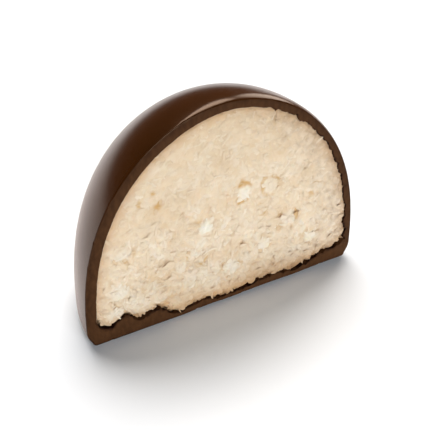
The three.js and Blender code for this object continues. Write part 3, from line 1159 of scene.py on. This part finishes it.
# %% Shapes of flakes
FLAKE_SIZES = {  # length, width and thickness in millimetres
    "shred": (1.7, 0.34, 0.09),
    "flake": (1.15, 0.52, 0.09),
    "broad_flake": (0.95, 0.75, 0.09),
    "grain": (0.62, 0.46, 0.16),
}
FLAKE_KINDS = 4  # different shapes of each size
FLAKE_STATIONS = 5
DIAMOND = 4  # corners of each station
MOST_BENT = np.array((0.05, 0.14, 0.3))  # up and sideways, in lengths, and twisted in radians
SIDES = (0.7, 1.25)  # how wide each side may be, in half-widths
POINTEDNESS = 0.88  # 1 would bring the ends to nothing
shapes = bpy.data.collections.new("flake_shapes")
chance = np.random.default_rng(11)


def flake_object(name, length, width, thickness):
    """One flake along X, lying flat, a little bent, twisted and uneven."""
    bend, sweep, twist = chance.uniform(-MOST_BENT, MOST_BENT)
    points, faces = [], []
    for i in range(FLAKE_STATIONS):
        along = 2 * i / (FLAKE_STATIONS - 1) - 1
        full = math.sqrt(1 - POINTEDNESS * along**2)
        left, right = chance.uniform(*SIDES, 2) * width * full / 2
        top = thickness * full / 2
        across = sweep * length * along**2
        up = bend * length * along**2
        turn = twist * along
        for y, z in ((right, 0), (0, top), (-left, 0), (0, -top)):
            y_turned = y * math.cos(turn) - z * math.sin(turn)
            z_turned = y * math.sin(turn) + z * math.cos(turn)
            points.append((along * length / 2, y_turned + across, z_turned + up))
    for i in range(FLAKE_STATIONS - 1):
        for k in range(DIAMOND):
            a = DIAMOND * i + k
            b = DIAMOND * i + (k + 1) % DIAMOND
            faces.append((a, b, b + DIAMOND, a + DIAMOND))
    last = DIAMOND * (FLAKE_STATIONS - 1)
    faces.append(tuple(reversed(range(DIAMOND))))
    faces.append(tuple(range(last, last + DIAMOND)))
    mesh = bpy.data.meshes.new(name)
    mesh.from_pydata([tuple(MM * value for value in point) for point in points], [], faces)
    mesh.materials.append(flaked_coconut)
    shapes.objects.link(bpy.data.objects.new(name, mesh))


for number in range(FLAKE_KINDS):
    for name, size in FLAKE_SIZES.items():
        flake_object(f"{name}_{number}", *size)

# %% [markdown]
# ## Flakes on the cut
#
# The knife leaves the flakes lying nearly flat in the cut, packed so close that they cover it. A
# particle system could throw them there, but nodes give the same in a way that can be followed step by
# step: points spread over the open part of the cut with a least distance between them, one shape on
# each point, turned any way in the plane and tilted a little out of it. Every draw has a fixed seed.

# %% Mark where flakes may lie
CLEAR = {"left": 0.6 * MM, "right": 0.35 * MM}  # they keep this far from where the chocolate begins
LEFT_UNTIL = 2 * MM
on_left = places_of(core_mesh)[:, 0] < LEFT_UNTIL
clear_of_wall = REACH + np.where(on_left, CLEAR["left"], CLEAR["right"])
open_points = read(core_mesh, "inset") > clear_of_wall
marked(core_mesh, "open_cut", open_points)
print("flakes may lie at", int(open_points.sum()), "points")

# %% The sizes of the scatter
SCATTERED = {
    "Shapes": shapes,
    "Where": "open_cut",
    "Spacing": 0.36 * MM,  # the least distance between two flakes
    "Density": 12 / MM**2,  # tries for each square metre
    "Smallest": 0.6,
    "Largest": 1.15,
    "Tilt": 0.13,  # radians out of the cut
    "Sink": 0.1 * MM,
    "Torn Below": CRUMBLED["Torn Below"],
    "Calm Above": CRUMBLED["Calm Above"],
    "Calm Share": CRUMBLED["Calm Share"],
    "Seed": 5,
    "Finish": flaked_coconut,
}
scatter, given, result = geometry_tree("scattered_flakes", SCATTERED)
print("the scatter has", len(SCATTERED), "inputs")

# %% Points, and how each flake is turned
chosen = add(scatter, "GeometryNodeInputNamedAttribute", {"Name": given["Where"]}, data_type="FLOAT")
here = add(scatter, "FunctionNodeCompare", {0: chosen, 1: 0.5}, operation="GREATER_THAN")
spots = add(
    scatter,
    "GeometryNodeDistributePointsOnFaces",
    {
        "Mesh": given["Geometry"],
        "Selection": here,
        "Distance Min": given["Spacing"],
        "Density Max": given["Density"],
        "Seed": given["Seed"],
    },
    distribute_method="POISSON",
)
place = add(scatter, "GeometryNodeInputPosition")
at = add(scatter, "ShaderNodeSeparateXYZ", {"Vector": place}).outputs
calmer = add(
    scatter,
    "ShaderNodeMapRange",
    {
        "Value": at["Z"],
        "From Min": given["Torn Below"],
        "From Max": given["Calm Above"],
        "To Min": 1.0,
        "To Max": given["Calm Share"],
    },
)
tilt = add(scatter, MATH, {0: given["Tilt"], 1: calmer}, operation="MULTIPLY")
tilt_back = add(scatter, MATH, {0: tilt, 1: -1.0}, operation="MULTIPLY")
least = add(scatter, "ShaderNodeCombineXYZ", {"X": tilt_back, "Y": tilt_back, "Z": -math.pi})
most = add(scatter, "ShaderNodeCombineXYZ", {"X": tilt, "Y": tilt, "Z": math.pi})
lean = add(
    scatter,
    "FunctionNodeRandomValue",
    {"Min": least, "Max": most, "Seed": given["Seed"]},
    data_type="FLOAT_VECTOR",
)
lean = add(scatter, "FunctionNodeEulerToRotation", {"Euler": lean})
facing = add(scatter, "FunctionNodeEulerToRotation", {"Euler": (math.pi / 2, 0.0, 0.0)})
facing = add(
    scatter, "FunctionNodeRotateRotation", {"Rotation": facing, "Rotate By": lean}, rotation_space="LOCAL"
)
print("points and turns:", len(scatter.nodes), "nodes so far")

# %% Lay the flakes
random = {}
for step, (label, low, high) in enumerate(
    [("size", given["Smallest"], given["Largest"]), ("sink", 0.0, given["Sink"]), ("tone", 0.0, 1.0)], 1
):
    seed = add(scatter, MATH, {0: given["Seed"], 1: float(step)}, operation="ADD")
    random[label] = add(
        scatter, "FunctionNodeRandomValue", {"Min": low, "Max": high, "Seed": seed}, data_type="FLOAT"
    )
picked = add(
    scatter,
    "GeometryNodeCollectionInfo",
    {"Collection": given["Shapes"], "Separate Children": True, "Reset Children": True},
)
made = add(
    scatter,
    "GeometryNodeInstanceOnPoints",
    {
        "Points": spots.outputs["Points"],
        "Instance": picked,
        "Pick Instance": True,
        "Rotation": facing,
        "Scale": random["size"],
    },
)
sunk = add(scatter, "ShaderNodeCombineXYZ", {"Y": random["sink"]})
made = add(
    scatter,
    "GeometryNodeTranslateInstances",
    {"Instances": made, "Translation": sunk, "Local Space": False},
)
made = add(
    scatter,
    "GeometryNodeStoreNamedAttribute",
    {"Geometry": made, "Name": "grain", "Value": random["tone"]},
    data_type="FLOAT",
    domain="INSTANCE",
)
made = add(scatter, "GeometryNodeRealizeInstances", {"Geometry": made})
made = add(scatter, "GeometryNodeSetMaterial", {"Geometry": made, "Material": given["Finish"]})
scatter.links.new(made.outputs["Geometry"], result["Geometry"])
flakes_mesh = made_by(scatter, SCATTERED, core_mesh)
print("flakes have", len(flakes_mesh.vertices), "points")

# %% [markdown]
# ## Tie the pieces to the imported model
#
# The visual pieces have to move with the imported solids. Each rides on the only body, and the shell
# and the coconut each hide the solid that they stand for.
# The flakes stand for no solid of their own: they lie in the coconut's surface.

# %% Tie the pieces to the imported model
PIECES = [  # name, mesh, slot, and the solid that it stands for
    ("chocolate", shell_mesh, "chocolate", "chocolate_shell"),
    ("coconut", core_mesh, "coconut", "coconut_filling"),
    ("coconut_flakes", flakes_mesh, "coconut", None),
]
for name, mesh, slot, solid in PIECES:
    piece = bpy.data.objects.new(name, mesh)
    bpy.context.scene.collection.objects.link(piece)
    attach(piece, "root")
    if solid:
        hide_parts(solid)
    mesh.calc_loop_triangles()
    print(name, len(mesh.loop_triangles), "triangles", [finish.name for finish in mesh.materials])

# %% [markdown]
# ## The floor
#
# The sweet stands on plain white card, which isn't part of it. An endless plane would be easy, but the
# lamps light only its middle, and a low view would show a dark band at its far end. So the card is
# round, wide enough for every view, and grows as grey as the room towards its rim, where the two meet
# unseen. It has a trace of blue, which the warm lamps turn to plain white. Card is matt, so it has no
# reflections to draw the eye.

# %% Floor
CARD_RADIUS = 240 * MM
CARD_SIDES = 180
WHITE_UNTIL = 45 * MM
GREY_FROM = 200 * MM
card_mesh = bpy.data.meshes.new("floor")
turns = [2 * math.pi * i / CARD_SIDES for i in range(CARD_SIDES)]
ring = [(CARD_RADIUS * math.cos(turn), CARD_RADIUS * math.sin(turn), 0) for turn in turns]
card_mesh.from_pydata(ring, [], [tuple(range(CARD_SIDES))])
floor = bpy.data.objects.new("floor", card_mesh)
bpy.context.scene.collection.objects.link(floor)
white_card, tree, spot = new_material("white_card")
away = add(tree, VECTOR_MATH, {0: spot}, operation="LENGTH")
greyer = add(
    tree,
    "ShaderNodeMapRange",
    {"Value": away, "From Min": WHITE_UNTIL, "From Max": GREY_FROM},
    interpolation_type="SMOOTHSTEP",
)
tone = add(
    tree, "ShaderNodeMix", {"Factor": greyer, "A": linear("#eaeff5"), "B": linear("#bbbfc3")}, **COLOUR_MIX
)
shader = add(tree, "ShaderNodeBsdfPrincipled", {"Base Color": tone, "Roughness": 0.9})
add(tree, "ShaderNodeOutputMaterial", {"Surface": shader})
card_mesh.materials.append(white_card)
print("floor", round(2 * CARD_RADIUS / MM), "mm across")

# %% [markdown]
# ## Light
#
# Food looks moist and clean in light from large soft boxes. A sky picture would light it too, but its
# reflections in the chocolate couldn't be placed. So there are three lamps: a broad warm one overhead
# and behind, which draws the pale line along the edge and throws the soft shadow forwards, a small
# warmer one on the right for the dome's side, and a cool one in front that fills the cut. They are
# oval, so that the lights in the gloss have no corners. The room itself gives only a little light.

# %% The room
ROOM_LIGHT = 0.05
ROOM_SEEN = 0.76  # how bright the room is where the camera sees it, to match the card's rim
world = bpy.data.worlds.new("studio")
bpy.context.scene.world = world
world.use_nodes = True
tree = world.node_tree
tree.nodes.clear()
seen = add(tree, "ShaderNodeLightPath").outputs["Is Camera Ray"]
strength = add(tree, "ShaderNodeMapRange", {"Value": seen, "To Min": ROOM_LIGHT, "To Max": ROOM_SEEN})
room = add(tree, "ShaderNodeBackground", {"Color": (1.0, 1.0, 1.0, 1.0), "Strength": strength})
add(tree, "ShaderNodeOutputWorld", {"Surface": room})
bpy.context.scene.view_settings.view_transform = "Standard"
print("room:", len(tree.nodes), "nodes")

# %% Three soft lamps
LAMPS_AWAY = 700 * MM
LAMPS = [  # name, direction from the sweet, width and height in metres, watts, and colour
    ("overhead", (0.1, 0.42, 0.9), (0.66, 0.42), 6.9, (1.0, 0.94, 0.88)),
    ("side", (0.76, 0.5, 0.42), (0.34, 0.46), 2.0, (1.0, 0.9, 0.8)),
    ("front_fill", (-0.06, -0.93, 0.34), (0.5, 0.36), 3.1, (0.94, 0.96, 0.98)),
]
power = 0.0
for name, direction, size, watts, tint in LAMPS:
    light = bpy.data.lights.new(name, "AREA")
    light.shape = "ELLIPSE"
    light.size, light.size_y = size
    light.energy = watts
    power += watts
    light.color = tint
    lamp = bpy.data.objects.new(name, light)
    lamp.location = Vector(direction).normalized() * LAMPS_AWAY
    lamp.rotation_euler = (-lamp.location).to_track_quat("-Z", "Y").to_euler()
    bpy.context.scene.collection.objects.link(lamp)
print(len(LAMPS), "lamps,", round(power, 1), "W")

# %% [markdown]
# ## Camera
#
# The camera looks down on the cut from the left, from as near as a lens for small things would stand,
# which is why the near corner looks larger than the far one. Its place is worked out from an angle
# round the sweet, an angle up and a distance, since those are easier to judge than three coordinates.

# %% Camera
CAMERA_ROUND = math.radians(-28.6)
CAMERA_UP = math.radians(42.5)
CAMERA_AWAY = 112 * MM
CAMERA_AIM = Vector((1.9, -1.9, 6.8)) * MM
LENS = 86  # millimetres
NEAREST_SEEN = 1 * MM
level = math.cos(CAMERA_UP)
back = Vector(
    (math.sin(CAMERA_ROUND) * level, -math.cos(CAMERA_ROUND) * level, math.sin(CAMERA_UP))
)
camera_data = bpy.data.cameras.new("camera")
camera_data.lens = LENS
camera_data.clip_start = NEAREST_SEEN
camera = bpy.data.objects.new("camera", camera_data)
camera.location = Vector((0, CUT_Y, 0)) + back * CAMERA_AWAY
camera.rotation_euler = (CAMERA_AIM - camera.location).to_track_quat("-Z", "Y").to_euler()
bpy.context.scene.collection.objects.link(camera)
bpy.context.scene.camera = camera
print("camera at", [round(part / MM) for part in camera.location], "mm")
